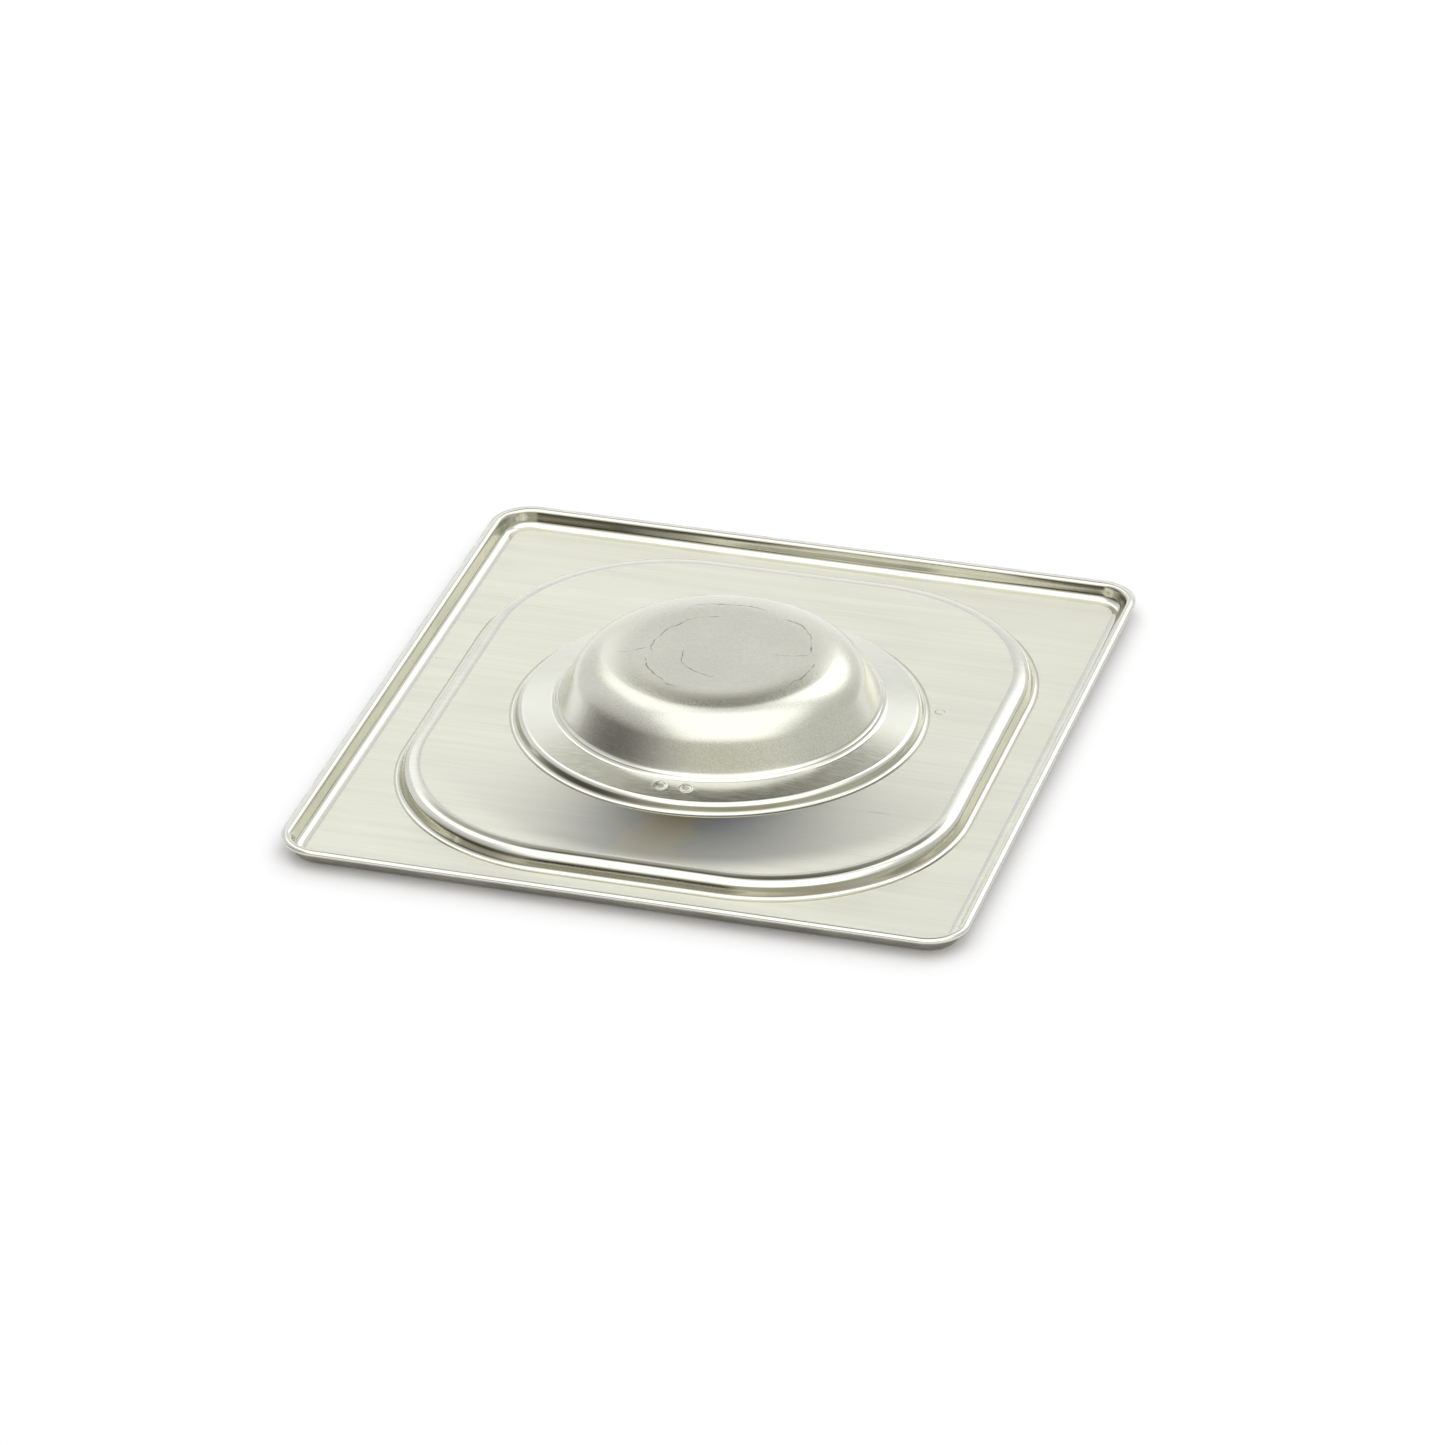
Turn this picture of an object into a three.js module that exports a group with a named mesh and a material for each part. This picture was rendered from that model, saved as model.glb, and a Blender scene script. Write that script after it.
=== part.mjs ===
// Lid of a one-sixth catering pan, in stainless steel, lying upside down: its rim
// stands up and the bowl that makes room for the fingers bulges upward.
// Millimetres, +Z up, X across the lid, Y along it. The origin is the centre of the
// lid, in the plane of the flange's outer face.
import * as THREE from 'three';

// ---- driving dimensions ----
const SHEET = 0.8;                 // thickness of the pressed sheet
const LID = { halfX: 81, halfY: 88, corner: 10 };          // outer edge of the rim
const STEP = { halfX: 67.8, halfY: 75.5, corner: 46.8 };   // foot of the raised panel
const ROUND = { halfX: 0, halfY: 0, corner: 0 };           // centre of all circular shapes

// Heights of the upper faces above the flange's outer face.
const FLANGE_TOP = SHEET;
const PANEL_TOP = FLANGE_TOP + 3.92;
const RING_TOP = FLANGE_TOP + 6.35;    // at the ring's outer edge
const BOWL_TOP = FLANGE_TOP + 21.1;

// Rim: a fillet up from the flange, a steep wall, and a lip turned outward.
const RIM_START = 4.9;             // flat flange ends this far in from the outer edge
const RIM_WALL_TILT = 75;          // degrees from the flange
const RIM_FOOT_RADIUS = 2.0;
const RIM_TOP_RADIUS = 1.1;
const RIM_CREST = FLANGE_TOP + 4.03;
const LIP_TILT = 8;                // degrees down towards the outer edge

// Raised panel.
const STEP_TILT = 70;
const STEP_TOP_RADIUS = 2.4;
const STEP_FOOT_RADIUS = 1.1;

// Raised ring round the bowl. Its upper face slopes down a little, away from the bowl.
const RING_SLOPE = 9;              // degrees down towards the ring's edge
const RING_FOOT = 48.7;            // radius where the ring meets the panel
const RING_TILT = 64;
const RING_TOP_RADIUS = 1.6;
const RING_FOOT_RADIUS = 1.2;

// Bowl.
const BOWL_FOOT = 39.35;           // radius where the bowl meets the ring
const BOWL_TILT = 62;
const BOWL_FOOT_RADIUS = 3.4;
const BOWL_SHOULDER_RADIUS = 11.4;
const BOWL_CROWN_RADIUS = 36;
const BOWL_CROWN_TILT = 11;        // slope where the crown runs into the shoulder

// Strap handle, welded across the open side of the bowl.
const STRAP_THICKNESS = 1.2;
const STRAP_HALF_WIDTH = 8;
const STRAP_END = 45;              // half length
const STRAP_CORNER = 4;            // rounding of the strap's ends in plan
const STRAP_PAD = 5.5;             // length of the welded pad at each end
const STRAP_TILT = 24;
const STRAP_GRIP_RADIUS = 14;
const STRAP_PAD_RADIUS = 5;
const STRAP_GRIP_BOTTOM = 1.6;     // lowest face of the strap, clear of the flange plane
const EDGE_BREAK = 0.3;            // chamfer along the strap's long edges

// Spot welds between strap and ring.
const WELD_GAP = 0.3;
const WELD_THICKNESS = 0.24;       // a little less than the gap, so that no faces cross
const WELD_RADIUS = 1.2;
const WELD_ALONG = 41.2;           // distance of the weld row from the centre
const WELD_SIDE = 3;               // each weld's distance from the strap's middle
const WELD_SIDES = 16;

// Points round every closed outline, for one quarter of the lid.
const SIDE_X_STEPS = 7;
const CORNER_STEPS = 4;
const SIDE_Y_STEPS = 6;

const radians = THREE.MathUtils.degToRad;

// A cross-section drawn from the inside outward. s is the distance outward, z the
// height, and tilt the downhill slope in radians.
class Profile {
  constructor(s, z, degrees = 0) {
    this.points = [{ s, z, tilt: radians(degrees) }];
  }

  last() {
    return this.points[this.points.length - 1];
  }

  // Circular bend from the present slope to another one.
  bend(radius, toDegrees, steps) {
    const start = this.last();
    const end = radians(toDegrees);
    const turn = Math.sign(end - start.tilt);
    for (let i = 1; i <= steps; i += 1) {
      const tilt = THREE.MathUtils.lerp(start.tilt, end, i / steps);
      const s = start.s + radius * turn * (Math.sin(tilt) - Math.sin(start.tilt));
      const z = start.z + radius * turn * (Math.cos(tilt) - Math.cos(start.tilt));
      this.points.push({ s, z, tilt });
    }
    return this;
  }

  // Straight on at the present slope to a height.
  straightToHeight(z) {
    const { s, z: from, tilt } = this.last();
    this.points.push({ s: s + (from - z) / Math.tan(tilt), z, tilt });
    return this;
  }

  // Straight on at the present slope to a distance.
  straightTo(s) {
    const { s: from, z, tilt } = this.last();
    this.points.push({ s, z: z - (s - from) * Math.tan(tilt), tilt });
    return this;
  }

  // Slides the whole section outward so that it ends at s.
  endAt(s) {
    const shift = s - this.last().s;
    for (const point of this.points) {
      point.s += shift;
    }
    return this;
  }
}

const rise = (radius, degrees) => radius * (1 - Math.cos(radians(degrees)));

function ringProfile() {
  return new Profile(0, RING_TOP, RING_SLOPE)
    .bend(RING_TOP_RADIUS, RING_TILT, 2)
    .straightToHeight(PANEL_TOP + rise(RING_FOOT_RADIUS, RING_TILT))
    .bend(RING_FOOT_RADIUS, 0, 2)
    .endAt(RING_FOOT);
}

const RING_EDGE = ringProfile().points[0].s;   // radius where the ring's edge starts to bend

// Height of the ring's upper face at a distance from the centre.
const ringHeight = (distance) => RING_TOP + (RING_EDGE - distance) * Math.tan(radians(RING_SLOPE));

function bowlProfile() {
  const bendRise = rise(BOWL_FOOT_RADIUS, BOWL_TILT) - rise(BOWL_FOOT_RADIUS, RING_SLOPE);
  return new Profile(0, BOWL_TOP)
    .bend(BOWL_CROWN_RADIUS, BOWL_CROWN_TILT, 2)
    .bend(BOWL_SHOULDER_RADIUS, BOWL_TILT, 5)
    .straightToHeight(ringHeight(BOWL_FOOT) + bendRise)
    .bend(BOWL_FOOT_RADIUS, RING_SLOPE, 3)
    .endAt(BOWL_FOOT);
}

function stepProfile() {
  const step = new Profile(0, PANEL_TOP)
    .bend(STEP_TOP_RADIUS, STEP_TILT, 3)
    .straightToHeight(FLANGE_TOP + rise(STEP_FOOT_RADIUS, STEP_TILT))
    .bend(STEP_FOOT_RADIUS, 0, 2)
    .endAt(0);
  return step.points;
}

function rimProfile() {
  const rim = new Profile(-RIM_START, FLANGE_TOP)
    .bend(RIM_FOOT_RADIUS, -RIM_WALL_TILT, 3)
    .straightToHeight(RIM_CREST - rise(RIM_TOP_RADIUS, RIM_WALL_TILT))
    .bend(RIM_TOP_RADIUS, LIP_TILT, 3)
    .straightTo(0);
  return rim.points;
}

// Distance from the centre to a rounded rectangle, in one direction.
function reach({ halfX, halfY, corner }, angle) {
  const along = Math.abs(Math.cos(angle));
  const across = Math.abs(Math.sin(angle));
  const centreX = halfX - corner;
  const centreY = halfY - corner;
  if (halfX * across <= centreY * along) {
    return halfX / along;
  }
  if (halfY * along <= centreX * across) {
    return halfY / across;
  }
  const half = along * centreX + across * centreY;
  return half + Math.sqrt(half ** 2 - centreX ** 2 - centreY ** 2 + corner ** 2);
}

// Directions of the points on every outline. They are close together where the outer
// edge turns its corners.
function outlineAngles() {
  const cornerStart = Math.atan2(LID.halfY - LID.corner, LID.halfX);
  const cornerEnd = Math.atan2(LID.halfY, LID.halfX - LID.corner);
  const spans = [
    [0, cornerStart, SIDE_X_STEPS],
    [cornerStart, cornerEnd, CORNER_STEPS],
    [cornerEnd, Math.PI / 2, SIDE_Y_STEPS],
  ];
  const quarter = spans.flatMap(([from, to, steps]) => Array.from(
    { length: steps },
    (_, i) => THREE.MathUtils.lerp(from, to, i / steps),
  ));
  const mirrored = quarter.slice(1).reverse().map((angle) => Math.PI - angle);
  const half = [...quarter, Math.PI / 2, ...mirrored];
  return [...half, ...half.map((angle) => angle + Math.PI)];
}

// A closed skin over rings of equal length, with a point at each end.
function skin(rings, firstPole, lastPole) {
  const count = rings[0].length;
  const vertices = [firstPole, ...rings.flat(), lastPole];
  const lastIndex = vertices.length - 1;
  const index = [];
  for (let i = 0; i < count; i += 1) {
    const next = (i + 1) % count;
    index.push(0, 1 + i, 1 + next);
    for (let ring = 0; ring < rings.length - 1; ring += 1) {
      const here = 1 + ring * count;
      const beyond = here + count;
      index.push(here + i, beyond + i, beyond + next);
      index.push(here + i, beyond + next, here + next);
    }
    const closing = 1 + (rings.length - 1) * count;
    index.push(closing + i, lastIndex, closing + next);
  }
  const geometry = new THREE.BufferGeometry();
  geometry.setAttribute('position', new THREE.Float32BufferAttribute(vertices.flat(), 3));
  geometry.setIndex(index);
  geometry.computeVertexNormals();
  return geometry;
}

// The whole lid as one pressed sheet: the upper face from the middle outward, the cut
// edge, and the lower face back to the middle, one sheet thickness beneath.
function pressingGeometry() {
  const angles = outlineAngles();
  const sections = [
    { base: ROUND, stations: [...bowlProfile().points.slice(1), ...ringProfile().points] },
    { base: STEP, stations: stepProfile() },
    { base: LID, stations: rimProfile() },
  ];
  const ringAt = (base, s, z) => {
    const outline = {
      halfX: base.halfX + s,
      halfY: base.halfY + s,
      corner: base.corner + s,
    };
    return angles.map((angle) => {
      const distance = reach(outline, angle);
      return [distance * Math.cos(angle), distance * Math.sin(angle), z];
    });
  };
  const upper = [];
  const lower = [];
  for (const { base, stations } of sections) {
    for (const { s, z, tilt } of stations) {
      upper.push(ringAt(base, s, z));
      lower.push(ringAt(base, s - SHEET * Math.sin(tilt), z - SHEET * Math.cos(tilt)));
    }
  }
  return skin(
    [...upper, ...lower.reverse()],
    [0, 0, BOWL_TOP],
    [0, 0, BOWL_TOP - SHEET],
  );
}

// Height of the strap pad's lower face, parallel to the ring's slope.
function padBottom(distance) {
  const depth = SHEET + WELD_GAP + STRAP_THICKNESS;
  return ringHeight(distance) - depth / Math.cos(radians(RING_SLOPE));
}

// Half of the strap's lower face, from the middle of the grip to the end of the pad.
function strapStations() {
  const padStart = STRAP_END - STRAP_PAD;
  const bendRise = rise(STRAP_PAD_RADIUS, STRAP_TILT) - rise(STRAP_PAD_RADIUS, RING_SLOPE);
  const ramp = new Profile(0, STRAP_GRIP_BOTTOM)
    .bend(STRAP_GRIP_RADIUS, -STRAP_TILT, 3)
    .straightToHeight(padBottom(padStart) - bendRise)
    .bend(STRAP_PAD_RADIUS, RING_SLOPE, 2)
    .endAt(padStart);
  const pad = [];
  const roundStart = STRAP_END - STRAP_CORNER;
  for (const turn of [0, 30, 60, 90]) {
    const s = roundStart + STRAP_CORNER * Math.sin(radians(turn));
    pad.push({ s, z: padBottom(s), tilt: radians(RING_SLOPE) });
  }
  return [...ramp.points, ...pad];
}

function strapHalfWidth(s) {
  const past = Math.max(0, s - (STRAP_END - STRAP_CORNER));
  return STRAP_HALF_WIDTH - STRAP_CORNER + Math.sqrt(Math.max(0, STRAP_CORNER ** 2 - past ** 2));
}

// Cross-sections of the strap along Y: an oblong with its four edges broken.
function strapGeometry() {
  const half = strapStations();
  const stations = [
    ...half.slice().reverse().map(({ s, z, tilt }) => ({ y: -s, z, tilt: -tilt, width: strapHalfWidth(s) })),
    ...half.map(({ s, z, tilt }) => ({ y: s, z, tilt, width: strapHalfWidth(s) })),
  ];
  const rings = stations.map(({ y, z, tilt, width }) => {
    const section = [
      [width - EDGE_BREAK, 0],
      [width, EDGE_BREAK],
      [width, STRAP_THICKNESS - EDGE_BREAK],
      [width - EDGE_BREAK, STRAP_THICKNESS],
      [-width + EDGE_BREAK, STRAP_THICKNESS],
      [-width, STRAP_THICKNESS - EDGE_BREAK],
      [-width, EDGE_BREAK],
      [-width + EDGE_BREAK, 0],
    ];
    return section.map(([x, up]) => [x, y + up * Math.sin(tilt), z + up * Math.cos(tilt)]);
  });
  const middle = (ring) => [0, ring[0][1], (ring[0][2] + ring[3][2]) / 2];
  return skin(rings, middle(rings[0]), middle(rings[rings.length - 1]));
}

const steel = (color, roughness) => new THREE.MeshStandardMaterial({
  color,
  roughness,
  metalness: 1,
});

const UP_OF_CYLINDER = new THREE.Vector3(0, 1, 0);

const lid = new THREE.Group();

const pressing = new THREE.Mesh(pressingGeometry(), steel(0xc9c8c2, 0.3));
pressing.name = 'lid_pressing';
lid.add(pressing);

const strap = new THREE.Mesh(strapGeometry(), steel(0xc4c3be, 0.35));
strap.name = 'handle_strap';
lid.add(strap);

for (const [endName, alongSign] of [['front', -1], ['rear', 1]]) {
  for (const [sideName, sideSign] of [['left', -1], ['right', 1]]) {
    const radius = WELD_RADIUS;
    const shape = new THREE.CylinderGeometry(radius, radius, WELD_THICKNESS, WELD_SIDES);
    const weld = new THREE.Mesh(shape, steel(0x9c9890, 0.5));
    weld.name = `spot_weld_${endName}_${sideName}`;
    const outward = new THREE.Vector3(sideSign * WELD_SIDE, alongSign * WELD_ALONG, 0);
    const distance = outward.length();
    const axis = outward.clone().setLength(Math.sin(radians(RING_SLOPE)));
    axis.z = Math.cos(radians(RING_SLOPE));
    weld.quaternion.setFromUnitVectors(UP_OF_CYLINDER, axis);
    weld.position.copy(outward).setZ(ringHeight(distance));
    weld.position.addScaledVector(axis, -(SHEET + WELD_GAP / 2));
    lid.add(weld);
  }
}

export default lid;
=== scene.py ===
"""A small catering pan's steel lid, lying upside down on a white table.

The CAD frame gives the lid's size and place. This script remakes its pressed sheet as a
fine mesh on the same cross-section, and adds the finish, the light and the camera.
Sizes are in millimetres, and are turned into metres by MM.
"""

import math

import bpy
import numpy as np
from mathutils import Matrix, Vector


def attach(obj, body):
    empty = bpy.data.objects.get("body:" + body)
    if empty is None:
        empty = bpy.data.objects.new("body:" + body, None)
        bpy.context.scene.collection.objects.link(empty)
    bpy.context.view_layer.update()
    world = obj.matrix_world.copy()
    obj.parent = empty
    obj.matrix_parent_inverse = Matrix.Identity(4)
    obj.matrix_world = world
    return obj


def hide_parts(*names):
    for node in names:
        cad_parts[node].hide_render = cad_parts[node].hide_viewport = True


MM = 0.001
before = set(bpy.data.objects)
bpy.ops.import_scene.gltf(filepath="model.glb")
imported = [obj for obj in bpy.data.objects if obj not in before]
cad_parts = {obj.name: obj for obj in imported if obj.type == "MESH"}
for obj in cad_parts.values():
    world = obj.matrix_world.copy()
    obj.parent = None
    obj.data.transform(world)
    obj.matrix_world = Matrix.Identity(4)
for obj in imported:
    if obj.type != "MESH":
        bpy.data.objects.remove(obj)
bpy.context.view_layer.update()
scene = bpy.context.scene


# ---------------------------------------------------------------- camera
AIM = Vector((-0.43, 3.76, 0.0)) * MM
CAMERA_DISTANCE = 1805.06 * MM
CAMERA_AZIMUTH = math.radians(16.346)
CAMERA_ELEVATION = math.radians(29.253)
CAMERA_ROLL = math.radians(-0.343)
CAMERA_LENS = 191.77
CAMERA_SENSOR = 36
CLIP_NEAR, CLIP_FAR = 0.05, 50     # metres


def add_camera():
    data = bpy.data.cameras.new("camera")
    data.sensor_width = CAMERA_SENSOR
    data.lens = CAMERA_LENS
    data.clip_start = CLIP_NEAR
    data.clip_end = CLIP_FAR
    camera = bpy.data.objects.new("camera", data)
    scene.collection.objects.link(camera)
    flat = math.cos(CAMERA_ELEVATION)
    back = Vector((
        math.sin(CAMERA_AZIMUTH) * flat,
        -math.cos(CAMERA_AZIMUTH) * flat,
        math.sin(CAMERA_ELEVATION),
    ))
    turn = (-back).to_track_quat("-Z", "Y").to_matrix()
    roll = Matrix.Rotation(CAMERA_ROLL, 3, "Z")
    camera.matrix_world = Matrix.LocRotScale(AIM + back * CAMERA_DISTANCE, turn @ roll, None)
    scene.camera = camera


# ---------------------------------------------------------------- sizes of the sheet
SHEET = 0.8
LID = (81.0, 88.0, 10.0)           # half width, half length, corner radius
STEP = (67.8, 75.5, 46.8)
ROUND = (0.0, 0.0, 0.0)

FLANGE_TOP = SHEET
PANEL_TOP = FLANGE_TOP + 3.92
RING_TOP = FLANGE_TOP + 6.35       # at the ring's outer edge
BOWL_TOP = FLANGE_TOP + 21.1
RIM_CREST = FLANGE_TOP + 4.03
RIM_START = 4.9                    # from the lid's edge in to the rim's foot
RIM_INSET = 0.12                   # the lip stops this far inside the lid's outline
RING_FOOT = 48.7
BOWL_FOOT = 39.35

# Slopes, in degrees.
DOME_SLOPE = 11                    # where the domed top turns into the shoulder
BOWL_WALL = 62
CREASE = 26                        # the faint crease round the bowl's foot
CREASE_DROP = 56                   # the short drop below the crease
RING_SLOPE = 9                     # the ring falls away from the bowl
RING_WALL = 64
STEP_WALL = 70
RIM_WALL = 75
LIP_SLOPE = 8
EASE = 12                          # bends run out gently below this slope

# Bend radii.
DOME_BEND = 36
SHOULDER_BEND = 11.4
BOWL_FOOT_BENDS = (1.7, 0.35, 1.5)   # above the crease, at it and below it
BOWL_FOOT_STEPS = (6, 3, 8)
RING_EDGE_BEND, RING_FOOT_BEND = 1.6, 1.2
STEP_EDGE_BEND, STEP_FOOT_BEND = 2.4, 1.1
STEP_CREST_EASE = 11.0
RIM_FOOT_BEND, RIM_LIP_BEND = 2.0, 1.1
EASE_BEND = 5.0
EASE_STEPS = 4

GUARD = 0.12                       # short flat stretch that keeps a flat face's shading flat


# ---------------------------------------------------------------- cross-section of the sheet
class Profile:
    """A cross-section drawn outward: distance s, height z and downhill slope."""

    def __init__(self, s, z, degrees=0.0):
        self.points = [(s, z, math.radians(degrees))]

    def bend(self, radius, to_degrees, steps):
        s0, z0, a0 = self.points[-1]
        a1 = math.radians(to_degrees)
        turn = 1 if a1 > a0 else -1
        for i in range(1, steps + 1):
            a = a0 + (a1 - a0) * i / steps
            s = s0 + radius * turn * (math.sin(a) - math.sin(a0))
            z = z0 + radius * turn * (math.cos(a) - math.cos(a0))
            self.points.append((s, z, a))
        return self

    def straight_to_height(self, z, steps):
        s0, z0, a = self.points[-1]
        for i in range(1, steps + 1):
            drop = (z0 - z) * i / steps
            self.points.append((s0 + drop / math.tan(a), z0 - drop, a))
        return self

    def straight_to(self, s):
        s0, z0, a = self.points[-1]
        self.points.append((s, z0 - (s - s0) * math.tan(a), a))
        return self

    def end_at(self, s):
        shift = s - self.points[-1][0]
        self.points = [(x + shift, z, a) for x, z, a in self.points]
        return self

    def guarded(self):
        """Adds a short straight stretch before the first point and after the last one."""
        s0, z0, a0 = self.points[0]
        s1, z1, a1 = self.points[-1]
        before = (s0 - GUARD, z0 + GUARD * math.tan(a0), a0)
        beyond = (s1 + GUARD, z1 - GUARD * math.tan(a1), a1)
        return [before, *self.points, beyond]


def rise(radius, degrees, start=0):
    """Height gained by an arc between two slopes."""
    return radius * (math.cos(math.radians(start)) - math.cos(math.radians(degrees)))


def ease_run(radius):
    """How much further an eased bend runs out than a plain one."""
    return (EASE_BEND - radius) * math.sin(math.radians(EASE))


def eased_foot(profile, base, radius, slope):
    """A wall's foot: a straight stretch down, a tight bend and a gentle run-out."""
    height = rise(radius, slope, EASE) + rise(EASE_BEND, EASE)
    profile.straight_to_height(base + height, steps=2)
    return profile.bend(radius, EASE, steps=6).bend(EASE_BEND, 0, EASE_STEPS)


def ring_profile():
    ring = Profile(0, RING_TOP, RING_SLOPE).bend(RING_EDGE_BEND, RING_WALL, steps=8)
    eased_foot(ring, PANEL_TOP, RING_FOOT_BEND, RING_WALL)
    return ring.end_at(RING_FOOT + ease_run(RING_FOOT_BEND)).guarded()


RING_EDGE, RING_EDGE_TOP, _ = ring_profile()[0]   # where the ring's outer edge starts to bend


def ring_height(distance):
    return RING_EDGE_TOP + (RING_EDGE - distance) * math.tan(math.radians(RING_SLOPE))


def bowl_profile():
    above, at_crease, below = BOWL_FOOT_BENDS
    foot = rise(above, BOWL_WALL, CREASE) + rise(at_crease, CREASE_DROP, CREASE)
    foot += rise(below, CREASE_DROP, RING_SLOPE)
    bowl = Profile(0, BOWL_TOP).bend(DOME_BEND, DOME_SLOPE, steps=6)
    bowl.bend(SHOULDER_BEND, BOWL_WALL, steps=20)
    bowl.straight_to_height(ring_height(BOWL_FOOT) + foot, steps=5)
    slopes = (CREASE, CREASE_DROP, RING_SLOPE)
    for radius, slope, steps in zip(BOWL_FOOT_BENDS, slopes, BOWL_FOOT_STEPS):
        bowl.bend(radius, slope, steps)
    return bowl.end_at(BOWL_FOOT).guarded()


def step_profile():
    step = Profile(0, PANEL_TOP).bend(STEP_CREST_EASE, EASE, steps=5)
    step.bend(STEP_EDGE_BEND, STEP_WALL, steps=9)
    eased_foot(step, FLANGE_TOP, STEP_FOOT_BEND, STEP_WALL)
    return step.end_at(ease_run(STEP_FOOT_BEND)).guarded()


def rim_profile():
    """From the flange up to the rim's lip, so its slopes are negative."""
    rim = Profile(-RIM_START - ease_run(RIM_FOOT_BEND), FLANGE_TOP)
    rim.bend(EASE_BEND, -EASE, EASE_STEPS).bend(RIM_FOOT_BEND, -RIM_WALL, steps=9)
    rim.straight_to_height(RIM_CREST - rise(RIM_LIP_BEND, RIM_WALL), steps=2)
    rim.bend(RIM_LIP_BEND, LIP_SLOPE, steps=9).straight_to(-RIM_INSET)
    s, z, a = rim.points[0]
    return [(s - GUARD, z, a), *rim.points]


# ---------------------------------------------------------------- outlines
CORNER_POINTS = 16
SIDE_POINTS = 20
WELD_POINTS = 22                   # closer together where the weld marks are
WELD_SPAN = math.radians(8)


def reach(outline, angle):
    """Distance from the centre to a rounded rectangle, in one direction."""
    half_x, half_y, corner = outline
    along, across = abs(math.cos(angle)), abs(math.sin(angle))
    cx, cy = half_x - corner, half_y - corner
    if half_x * across <= cy * along:
        return half_x / along
    if half_y * along <= cx * across:
        return half_y / across
    half = along * cx + across * cy
    return half + math.sqrt(half ** 2 - cx ** 2 - cy ** 2 + corner ** 2)


def outline_angles():
    half_x, half_y, corner = LID
    corner_start = math.atan2(half_y - corner, half_x)
    corner_end = math.atan2(half_y, half_x - corner)
    weld_start = math.pi / 2 - WELD_SPAN
    quarter = [
        *np.linspace(0, corner_start, SIDE_POINTS, endpoint=False),
        *np.linspace(corner_start, corner_end, CORNER_POINTS, endpoint=False),
        *np.linspace(corner_end, weld_start, SIDE_POINTS, endpoint=False),
        *np.linspace(weld_start, math.pi / 2, WELD_POINTS, endpoint=False),
    ]
    half = [*quarter, math.pi / 2, *(math.pi - a for a in quarter[:0:-1])]
    return [*half, *(a + math.pi for a in half)]


# ---------------------------------------------------------------- weld marks
# Spot welds leave small sunk discs with a raised lip: across, along, radius and depth.
WELD_MARKS = [
    (-1.9, -41.8, 1.25, 0.1),
    (4.1, -41.5, 1.25, 0.12),
    (-3.0, 41.5, 1.2, 0.08),
    (3.0, 41.5, 1.2, 0.08),
]
WELD_LIP = 0.025
LIP_PLACE, LIP_WIDTH = 1.35, 0.3   # in radii of the mark
MARK_REACH = 2.2
MARK_STEEPNESS = 8


def weld_sink(x, y):
    """How far the ring's surface lies below its cone at one place."""
    sink = 0.0
    for across, along, radius, depth in WELD_MARKS:
        far = math.hypot(x - across, y - along) / radius
        if far < MARK_REACH:
            lip = WELD_LIP * math.exp(-((far - LIP_PLACE) / LIP_WIDTH) ** 2)
            sink += depth / (1 + far ** MARK_STEEPNESS) - lip
    return sink


# ---------------------------------------------------------------- the pressed sheet
SATIN, DRAWN, BRUSHED, POLISHED, WALL, SHADED_RIM = range(6)   # material slots of the sheet
WALL_SLOPE = math.radians(52)      # bends steeper than this get the walls' darker colour, which is painted shade
BOWL_FOOT_POINTS = sum(BOWL_FOOT_STEPS) + 1
RUN_OUT_POINTS = EASE_STEPS + 1
FLAT_POINTS = 3                    # the end of a run-out, which is flat enough to be brushed
RING_STATIONS = 22
PANEL_STATIONS = (1.2, 4.0)        # out from the ring's foot
MAP_SCALE = 5                      # grain map units in a metre


def skin_mesh(name, rings, first_pole, last_pole, slots):
    """A closed skin over rings of equal length, with a point at each end."""
    count = len(rings[0])
    verts = [first_pole, *(p for ring in rings for p in ring), last_pole]
    last = len(verts) - 1
    faces, materials = [], []
    for i in range(count):
        nxt = (i + 1) % count
        faces.append((0, 1 + i, 1 + nxt))
        materials.append(slots[0])
        for ring in range(len(rings) - 1):
            here = 1 + ring * count
            beyond = here + count
            faces.append((here + i, beyond + i, beyond + nxt, here + nxt))
            materials.append(slots[ring])
        closing = 1 + (len(rings) - 1) * count
        faces.append((closing + i, last, closing + nxt))
        materials.append(slots[-1])
    mesh = bpy.data.meshes.new(name)
    mesh.from_pydata([Vector(v) * MM for v in verts], [], faces)
    mesh.polygons.foreach_set("material_index", materials)
    mesh.polygons.foreach_set("use_smooth", [True] * len(mesh.polygons))
    mesh.update()
    return mesh


def add_grain_map(mesh):
    """Plan coordinates whose first axis runs across the brushed lines."""
    grain = mesh.uv_layers.new(name="grain")
    corners = np.empty(len(mesh.loops), dtype=np.int64)
    mesh.loops.foreach_get("vertex_index", corners)
    places = np.empty(len(mesh.vertices) * 3)
    mesh.vertices.foreach_get("co", places)
    places = places.reshape(-1, 3)[corners]
    plan = np.stack([places[:, 1], places[:, 0]], axis=1) * MAP_SCALE + 0.5
    grain.data.foreach_set("uv", plan.ravel())


def ring_flat_stations():
    """The ring's sloped face, between the bowl's foot and the ring's edge."""
    slope = math.radians(RING_SLOPE)
    start, end = BOWL_FOOT + 2 * GUARD, RING_EDGE - 2 * GUARD
    return [(s, ring_height(s), slope) for s in np.linspace(start, end, RING_STATIONS)]


def panel_stations():
    """Two more rings on the panel, which keep its triangles in even shape."""
    return [(RING_FOOT + out, PANEL_TOP, 0.0) for out in PANEL_STATIONS]


def flange_stations():
    """The outer end of the flat flange, just inside the rim."""
    return [(rim_profile()[0][0] - GUARD, FLANGE_TOP, 0.0)]


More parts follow.
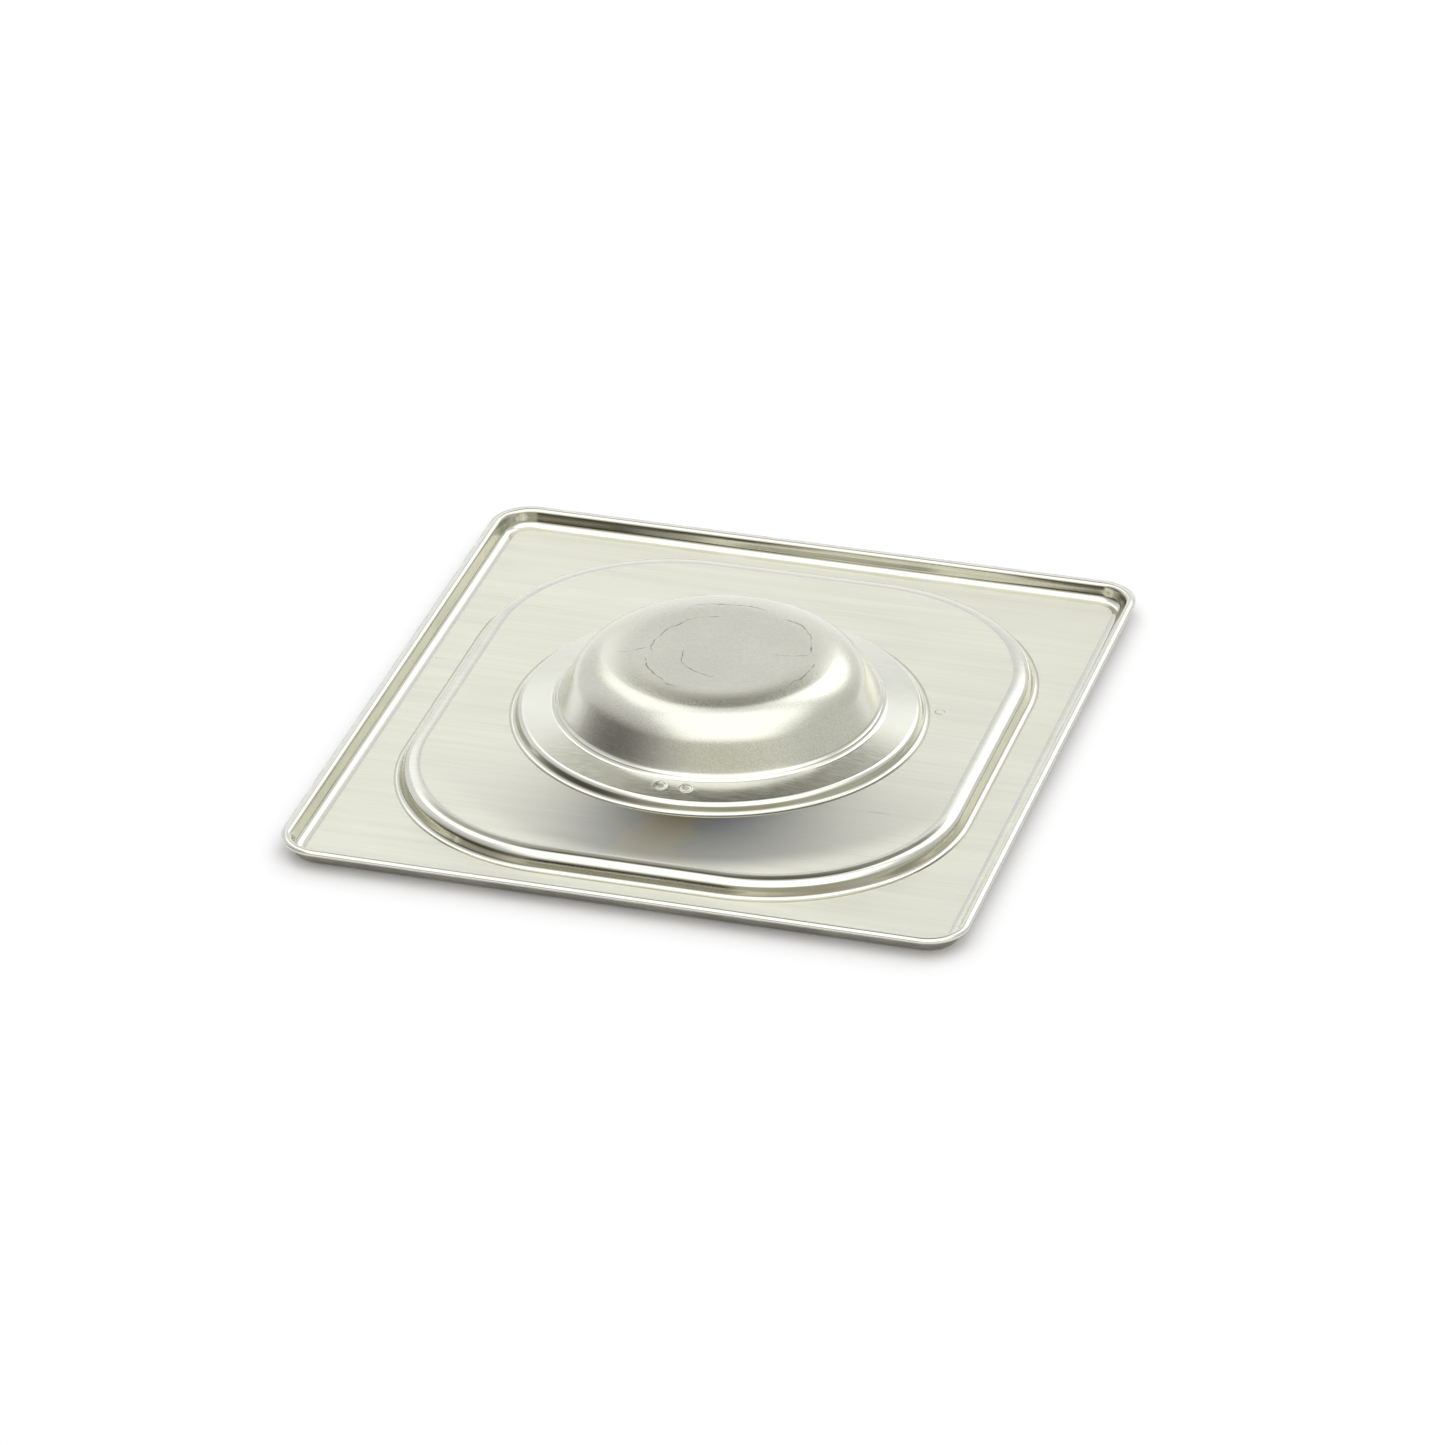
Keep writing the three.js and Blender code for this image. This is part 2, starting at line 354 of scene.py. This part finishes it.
def foot_sections(outline, profile):
    """A wall with its edge, and then its foot's run-out with the walls' darker colour, which is
    painted shade.
    """
    return [
        (outline, profile[:-RUN_OUT_POINTS], POLISHED, POLISHED),
        (outline, profile[-RUN_OUT_POINTS:-FLAT_POINTS], WALL, POLISHED),
        (outline, profile[-FLAT_POINTS:], BRUSHED, BRUSHED),
    ]


def sheet_sections():
    """From the middle outward: outline, cross-section, finish above and finish below."""
    bowl = bowl_profile()
    return [
        (ROUND, bowl[:-BOWL_FOOT_POINTS], SATIN, SATIN),
        (ROUND, bowl[-BOWL_FOOT_POINTS:], POLISHED, POLISHED),
        (ROUND, ring_flat_stations(), DRAWN, DRAWN),
        *foot_sections(ROUND, ring_profile()),
        (ROUND, panel_stations(), BRUSHED, BRUSHED),
        *foot_sections(STEP, step_profile()),
        (LID, flange_stations(), BRUSHED, BRUSHED),
        (LID, rim_profile(), POLISHED, SHADED_RIM),
    ]


def ring_at(base, s, z, angles):
    """Points round an outline that lies a distance s outside its base."""
    outline = tuple(v + s for v in base)
    points = []
    for angle in angles:
        far = reach(outline, angle)
        x, y = far * math.cos(angle), far * math.sin(angle)
        points.append((x, y, z - weld_sink(x, y)))
    return points


def make_pressing():
    angles = outline_angles()
    upper, lower, slots_above, slots_below = [], [], [], []
    for base, stations, above, below in sheet_sections():
        for s, z, a in stations:
            upper.append(ring_at(base, s, z, angles))
            lower.append(ring_at(base, s - SHEET * math.sin(a), z - SHEET * math.cos(a), angles))
            wall = above == POLISHED and abs(a) > WALL_SLOPE
            slots_above.append(WALL if wall else above)
            slots_below.append(below)
    rings = [*upper, *reversed(lower)]
    poles = (0, 0, BOWL_TOP), (0, 0, BOWL_TOP - SHEET)
    mesh = skin_mesh("pressed_sheet", rings, *poles, [*slots_above, *reversed(slots_below)])
    add_grain_map(mesh)
    piece = bpy.data.objects.new("pressed_sheet", mesh)
    scene.collection.objects.link(piece)
    return piece


# ---------------------------------------------------------------- words for materials
MIDTONES = (0.35, 0.65)            # the part of a noise pattern that carries its contrast
WIDE_TONES = (0.3, 0.7)


class Nodes:
    """Short words for building a procedural material."""

    def __init__(self, name):
        self.material = bpy.data.materials.new(name)
        self.material.use_nodes = True
        self.tree = self.material.node_tree
        self.shader = self.tree.nodes["Principled BSDF"]
        self.where = self.new("ShaderNodeTexCoord").outputs["Object"]

    def new(self, kind, **settings):
        node = self.tree.nodes.new(kind)
        for key, value in settings.items():
            setattr(node, key, value)
        return node

    def link(self, source, target):
        self.tree.links.new(source, target)

    def put(self, socket, value):
        if hasattr(value, "links"):
            self.link(value, socket)
        else:
            socket.default_value = value

    def noise(self, x, y, z, detail=2.0):
        """Noise with so many waves in a metre along each axis."""
        mapping = self.new("ShaderNodeMapping")
        self.link(self.where, mapping.inputs["Vector"])
        mapping.inputs["Scale"].default_value = (x, y, z)
        node = self.new("ShaderNodeTexNoise")
        self.link(mapping.outputs["Vector"], node.inputs["Vector"])
        node.inputs["Scale"].default_value = 1
        node.inputs["Detail"].default_value = detail
        return node.outputs["Fac"]

    def math(self, operation, a, b=0.0, c=0.0):
        node = self.new("ShaderNodeMath", operation=operation)
        for socket, value in zip(node.inputs, (a, b, c)):
            self.put(socket, value)
        return node.outputs[0]

    def remap(self, value, low, high, to_low, to_high, smooth=False):
        node = self.new("ShaderNodeMapRange")
        if smooth:
            node.interpolation_type = "SMOOTHSTEP"
        self.put(node.inputs["Value"], value)
        node.inputs["From Min"].default_value = low
        node.inputs["From Max"].default_value = high
        node.inputs["To Min"].default_value = to_low
        node.inputs["To Max"].default_value = to_high
        return node.outputs["Result"]

    def mix(self, factor, a, b):
        node = self.new("ShaderNodeMix", data_type="RGBA")
        self.put(node.inputs["Factor"], factor)
        for name, value in (("A", a), ("B", b)):
            socket = next(s for s in node.inputs if s.name == name and s.type == "RGBA")
            self.put(socket, value if hasattr(value, "links") else (*value, 1))
        return next(s for s in node.outputs if s.type == "RGBA")

    def blend(self, first, second, share):
        """A share of the first pattern and the rest of the second."""
        rest = self.math("MULTIPLY", second, 1 - share)
        return self.math("MULTIPLY_ADD", first, share, rest)

    def shade(self, tone, dark, light):
        return self.mix(self.remap(tone, *MIDTONES, 0, 1), dark, light)

    def vary(self, tone, low, high):
        return self.remap(tone, *WIDE_TONES, low, high)

    def plan(self):
        split = self.new("ShaderNodeSeparateXYZ")
        self.link(self.where, split.inputs[0])
        return split.outputs["X"], split.outputs["Y"]

    def distance(self, x, y):
        squares = self.math("MULTIPLY", x, x), self.math("MULTIPLY", y, y)
        return self.math("SQRT", self.math("ADD", *squares))

    def turn(self, x, y, heading):
        """Angle from a heading round to the direction of (x, y)."""
        cos, sin = math.cos(heading), math.sin(heading)
        ahead = self.math("ADD", self.math("MULTIPLY", x, cos), self.math("MULTIPLY", y, sin))
        aside = self.math("SUBTRACT", self.math("MULTIPLY", y, cos), self.math("MULTIPLY", x, sin))
        return self.math("ARCTAN2", aside, ahead)

    def bump(self, height, distance):
        node = self.new("ShaderNodeBump")
        self.link(height, node.inputs["Height"])
        node.inputs["Distance"].default_value = distance
        node.inputs["Strength"].default_value = 1
        return node.outputs["Normal"]

    def finish(self, color, roughness, normal=None):
        self.put(self.shader.inputs["Base Color"], color)
        self.put(self.shader.inputs["Roughness"], roughness)
        self.shader.inputs["Metallic"].default_value = 1
        if normal is not None:
            self.link(normal, self.shader.inputs["Normal"])
        return self.material


# ---------------------------------------------------------------- fine marks
MARK = (0.24, 0.20, 0.13)
LINE_WIDTH = 0.24
LINE_CORE = 0.35                   # the line is full within this share of its width
LINE_END = 0.85                    # and fades out beyond this share of its arc

# Curved draw lines and hairlines: centre across and along, radius, first and last heading.
DRAW_LINES = [
    (0, 0, 15.6, 100, 205),
    (8, 5, 13, -8, 78),
    (14, 12, 11.6, -98, -54),
    (0, 0, 21.6, 74, 122),
    (0, 0, 23.6, -32, -2),
    (3, -2.5, 11.2, 180, 270),
    (5, 0, 22.4, 203, 247),
    (-24, 2, 9.5, -80, -38),
]
HAIRLINES = [
    (48.4, -47.3, 12, 78, 104),
    (49.5, 14.2, 1.1, -20, 330),
    (-73.5, 9.5, 5, 78, 104),
    (-65.2, -43.0, 3.3, 80, 105),
]
WELD_EDGES = [(across, along, radius, -178, 178) for across, along, radius, _ in WELD_MARKS]


def arc_mark(n, x, y, arc, wobble):
    """1 on a thin arc and 0 away from it."""
    across, along, radius, first, last = arc
    dx = n.math("SUBTRACT", x, across * MM)
    dy = n.math("SUBTRACT", y, along * MM)
    far = n.math("ADD", n.distance(dx, dy), wobble)
    off = n.math("ABSOLUTE", n.math("SUBTRACT", far, radius * MM))
    line = n.remap(off, LINE_CORE * LINE_WIDTH * MM, LINE_WIDTH * MM, 1, 0, smooth=True)
    middle = math.radians((first + last) / 2)
    half = math.radians((last - first) / 2)
    heading = n.math("ABSOLUTE", n.turn(dx, dy, middle))
    return n.math("MULTIPLY", line, n.remap(heading, half * LINE_END, half, 1, 0))


def arc_marks(n, arcs, waver):
    """All the arcs together, wavering and broken up by noise."""
    x, y = n.plan()
    coarse = n.noise(180, 180, 180, detail=4)
    wobble = n.math("MULTIPLY", n.math("SUBTRACT", coarse, 0.5), waver * MM)
    total = None
    for arc in arcs:
        mark = arc_mark(n, x, y, arc, wobble)
        total = mark if total is None else n.math("MAXIMUM", total, mark)
    worn = n.remap(n.noise(420, 420, 420), 0.4, 0.6, 0.15, 1)
    return n.math("MULTIPLY", total, worn)


# Painted shade: a soft dark patch on the sheet in front of the bowl, standing in for the bowl's
# shade on it: bluish, with a straw-coloured streak.
BOWL_SHADE_HEADING = math.radians(-83)   # direction of the painted shade's middle, seen from the bowl
BOWL_SHADE_SPREAD = (31.0, 42.0)         # degrees to the left and to the right
BOWL_SHADE_STRAW_SIDE = math.radians(4)  # the straw-coloured streak lies this far to the left
BOWL_SHADE_STRAW_EDGE = (0.05, 0.22)     # radians from the streak's middle
BOWL_SHADE_START = (46.2, 48.0)          # distances from the bowl's middle
BOWL_SHADE_FADE = (50.0, 66.0)
BOWL_SHADE_END = (66.0, 75.5)
BOWL_SHADE_STRENGTH = (0.97, 0.68)       # at the two ends of the fade
BOWL_SHADE_BLUE, BOWL_SHADE_STRAW = (0.10, 0.11, 0.135), (0.16, 0.14, 0.09)


# Painted shade: mixes the dark patch in front of the bowl into the given colour.
def painted_bowl_shade(n, color):
    x, y = n.plan()
    turn = n.turn(x, y, BOWL_SHADE_HEADING)
    left, right = (1 / math.radians(spread) for spread in BOWL_SHADE_SPREAD)
    wide = n.math("MAXIMUM", n.math("MULTIPLY", turn, right), n.math("MULTIPLY", turn, -left))
    side = n.math("EXPONENT", n.math("MULTIPLY", n.math("MULTIPLY", wide, wide), -1))
    far = n.math("DIVIDE", n.distance(x, y), MM)
    starts = n.remap(far, *BOWL_SHADE_START, 0, 1)
    fades = n.remap(far, *BOWL_SHADE_FADE, *BOWL_SHADE_STRENGTH)
    ends = n.remap(far, *BOWL_SHADE_END, 1, 0, smooth=True)
    amount = n.math("MULTIPLY", n.math("MULTIPLY", side, starts), n.math("MULTIPLY", fades, ends))
    patches = n.math("MULTIPLY", n.math("SUBTRACT", n.noise(90, 90, 90), 0.5), 0.5)
    middle = n.math("ADD", n.math("ABSOLUTE", n.math("ADD", turn, BOWL_SHADE_STRAW_SIDE)), patches)
    straw = n.remap(middle, *BOWL_SHADE_STRAW_EDGE, 1, 0, smooth=True)
    return n.mix(amount, color, n.mix(straw, BOWL_SHADE_BLUE, BOWL_SHADE_STRAW))


# ---------------------------------------------------------------- finishes: dark and light tone
BRUSHED_TONES = (0.87, 0.87, 0.79), (0.97, 0.97, 0.885)
DRAWN_TONES = (0.785, 0.79, 0.725), (0.85, 0.855, 0.79)
SATIN_TONES = (0.72, 0.72, 0.645), (0.83, 0.83, 0.755)
# Painted shade: the walls' tones are a darker copy of the bends' tones.
SHADED_WALL_TONES = (0.55, 0.54, 0.45), (0.65, 0.64, 0.545)
# Painted shade: the rim's outer side is darkened for the table's shadow that it reflects.
SHADED_RIM_TONES = (0.28, 0.265, 0.22), (0.42, 0.40, 0.345)
STRAP_TONES = (0.66, 0.66, 0.62), (0.76, 0.76, 0.73)
WELD_TONES = (0.42, 0.38, 0.32), (0.56, 0.53, 0.48)
STRAP_ROUGHNESS, WELD_ROUGHNESS = 0.26, 0.4


def brushed_steel():
    """Sheet as it comes from the mill: fine lines along X, broken into short strokes."""
    n = Nodes("brushed_steel")
    fine = n.noise(30, 2600, 900, detail=3)
    broad = n.noise(9, 420, 300)
    cloud = n.noise(26, 60, 60, detail=3)
    lines = n.blend(fine, broad, 0.65)
    # The colour gets painted shade here: the dark patch in front of the bowl.
    color = painted_bowl_shade(n, n.shade(n.blend(cloud, lines, 0.3), *BRUSHED_TONES))
    color = n.mix(n.math("MULTIPLY", arc_marks(n, HAIRLINES, 0.8), 0.6), color, MARK)
    n.shader.inputs["Anisotropic"].default_value = 0.9
    tangent = n.new("ShaderNodeTangent", direction_type="UV_MAP", uv_map="grain")
    n.link(tangent.outputs["Tangent"], n.shader.inputs["Tangent"])
    return n.finish(color, n.vary(lines, 0.40, 0.48), n.bump(fine, 0.0025 * MM))


def drawn_steel():
    """The ring: the sheet's lines pulled out into a fine, even satin."""
    n = Nodes("drawn_steel")
    fine = n.noise(300, 1800, 900, detail=3)
    cloud = n.noise(70, 70, 70, detail=3)
    color = n.shade(n.blend(cloud, fine, 0.5), *DRAWN_TONES)
    color = n.mix(n.math("MULTIPLY", arc_marks(n, WELD_EDGES, 0.3), 0.95), color, MARK)
    return n.finish(color, n.vary(fine, 0.16, 0.21), n.bump(fine, 0.004 * MM))


def satin_steel():
    """The drawn bowl: the sheet's surface stretched out into a fine grain."""
    n = Nodes("satin_steel")
    grain = n.noise(2400, 2400, 2400)
    cloud = n.noise(55, 55, 55, detail=3)
    color = n.shade(n.blend(cloud, grain, 0.4), *SATIN_TONES)
    color = n.mix(n.math("MULTIPLY", arc_marks(n, DRAW_LINES, 3.2), 0.8), color, MARK)
    return n.finish(color, n.vary(grain, 0.20, 0.26), n.bump(grain, 0.009 * MM))


def polished_steel():
    """Bends, rubbed smoother than the flat sheet by the press tool."""
    n = Nodes("polished_steel")
    fine = n.noise(60, 1400, 1400, detail=3)
    rub = n.noise(160, 160, 420)
    color = n.shade(n.blend(fine, rub, 0.5), *DRAWN_TONES)
    return n.finish(color, n.vary(rub, 0.06, 0.11), n.bump(fine, 0.002 * MM))


def shaded_wall_steel():
    """Steep walls and their feet: the bends' steel with painted shade, a darker colour standing in
    for the shade on them.
    """
    n = Nodes("shaded_wall_steel")
    drag = n.noise(60, 60, 1800, detail=3)
    cloud = n.noise(70, 70, 250, detail=3)
    color = n.shade(n.blend(cloud, drag, 0.6), *SHADED_WALL_TONES)
    return n.finish(color, n.vary(drag, 0.09, 0.15), n.bump(drag, 0.003 * MM))


def shaded_rim_steel():
    """The rim's outer side, left rough where the die held and trimmed it; its dark colour is
    painted shade, standing in for the table's shadow that this side reflects.
    """
    n = Nodes("shaded_rim_steel")
    drag = n.noise(300, 300, 2400, detail=3)
    cloud = n.noise(90, 90, 200)
    color = n.shade(n.blend(cloud, drag, 0.5), *SHADED_RIM_TONES)
    return n.finish(color, n.vary(drag, 0.3, 0.42), n.bump(drag, 0.004 * MM))


def plain_steel(name, tones, roughness):
    """The strap and its welds, with a fine grain along Y."""
    n = Nodes(name)
    lines = n.noise(2200, 40, 900, detail=3)
    cloud = n.noise(120, 120, 120)
    color = n.shade(n.blend(cloud, lines, 0.5), *tones)
    return n.finish(color, n.vary(lines, roughness - 0.04, roughness + 0.04))


# ---------------------------------------------------------------- surroundings
TABLE_HALF = 6.0                   # metres
TABLE_TONES = (0.92, 0.92, 0.95), (0.94, 0.94, 0.97)
TABLE_GLOW = 0.1


def add_table():
    corners = [(-TABLE_HALF, -TABLE_HALF, 0), (TABLE_HALF, -TABLE_HALF, 0)]
    corners += [(-x, -y, 0) for x, y, _ in corners]
    mesh = bpy.data.meshes.new("table")
    mesh.from_pydata(corners, [], [(0, 1, 2, 3)])
    table = bpy.data.objects.new("table", mesh)
    scene.collection.objects.link(table)
    n = Nodes("white_table")
    speck = n.noise(400, 400, 400, detail=1)
    n.put(n.shader.inputs["Base Color"], n.mix(speck, *TABLE_TONES))
    n.shader.inputs["Specular IOR Level"].default_value = 0.1
    n.shader.inputs["Roughness"].default_value = 0.9
    n.shader.inputs["Emission Color"].default_value = (1, 1, 1, 1)
    n.shader.inputs["Emission Strength"].default_value = TABLE_GLOW
    mesh.materials.append(n.material)


# Soft light by direction. Each patch: degrees round from the back of the view (to the right
# is positive), degrees above the horizon, inner and outer radius in degrees, colour.
SKY = (0.765, 0.765, 0.755)
WHITE = (1.4, 1.4, 1.37)
DARK = (0.13, 0.122, 0.1)
PATCHES = [
    (163, 61, 38, 53, WHITE),                     # large soft box overhead
    (180, -62, 87, 106, (0.51, 0.495, 0.415)),    # the room on the camera's side
    (0, 0, 4, 30, (1.0, 1.0, 0.98)),              # lit backdrop, low behind
    (95, 0, 28, 60, (0.6, 0.6, 0.56)),            # grey walls to the right and left
    (-105, 15, 17, 52, (0.545, 0.535, 0.52)),
    (-39, 61, 2, 18, WHITE),                      # soft boxes behind
    (33, 39, 8, 25, (1.68, 1.68, 1.64)),
    (-24, 45, 5, 18, WHITE),
    (-14, 28, 2, 9, (1.1, 1.1, 1.08)),
    (-109, -18, 21, 58, (0.056, 0.048, 0.036)),   # dark gaps between the lights
    (-149, 11, 3, 12, (0.064, 0.06, 0.048)),
    (1, 48, 6, 12, DARK),
    (10, 41, 2, 8, (0.27, 0.26, 0.22)),
    (-8, 40, 2, 8, (0.42, 0.41, 0.35)),
]


def direction(around, above):
    """Unit vector of a sky direction, counted from straight behind the object."""
    a = CAMERA_AZIMUTH - math.radians(around)
    e = math.radians(above)
    return (-math.sin(a) * math.cos(e), math.cos(a) * math.cos(e), math.sin(e))


def add_light():
    world = bpy.data.worlds.new("studio")
    scene.world = world
    world.use_nodes = True
    nodes, links = world.node_tree.nodes, world.node_tree.links
    where = nodes.new("ShaderNodeTexCoord").outputs["Generated"]
    color = nodes.new("ShaderNodeRGB").outputs[0]
    color.default_value = (*SKY, 1)
    for around, above, inner, outer, light in PATCHES:
        dot = nodes.new("ShaderNodeVectorMath")
        dot.operation = "DOT_PRODUCT"
        links.new(where, dot.inputs[0])
        dot.inputs[1].default_value = direction(around, above)
        edge = nodes.new("ShaderNodeMapRange")
        edge.interpolation_type = "SMOOTHSTEP"
        links.new(dot.outputs["Value"], edge.inputs["Value"])
        edge.inputs["From Min"].default_value = math.cos(math.radians(outer))
        edge.inputs["From Max"].default_value = math.cos(math.radians(inner))
        mix = nodes.new("ShaderNodeMixRGB")
        links.new(edge.outputs["Result"], mix.inputs["Fac"])
        links.new(color, mix.inputs["Color1"])
        mix.inputs["Color2"].default_value = (*light, 1)
        color = mix.outputs["Color"]
    links.new(color, nodes["Background"].inputs["Color"])


# ---------------------------------------------------------------- the scene
add_camera()
add_table()
add_light()
scene.view_settings.view_transform = "Standard"

strap = plain_steel("strap_steel", STRAP_TONES, STRAP_ROUGHNESS)
weld = plain_steel("weld_steel", WELD_TONES, WELD_ROUGHNESS)

sheet = make_pressing()
finishes = (satin_steel, drawn_steel, brushed_steel, polished_steel, shaded_wall_steel, shaded_rim_steel)
for finish in finishes:
    sheet.data.materials.append(finish())
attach(sheet, "root")
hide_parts("lid_pressing")

for name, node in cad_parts.items():
    if name == "handle_strap":
        node.data.materials.clear()
        node.data.materials.append(strap)
    elif name.startswith("spot_weld"):
        node.data.materials.clear()
        node.data.materials.append(weld)
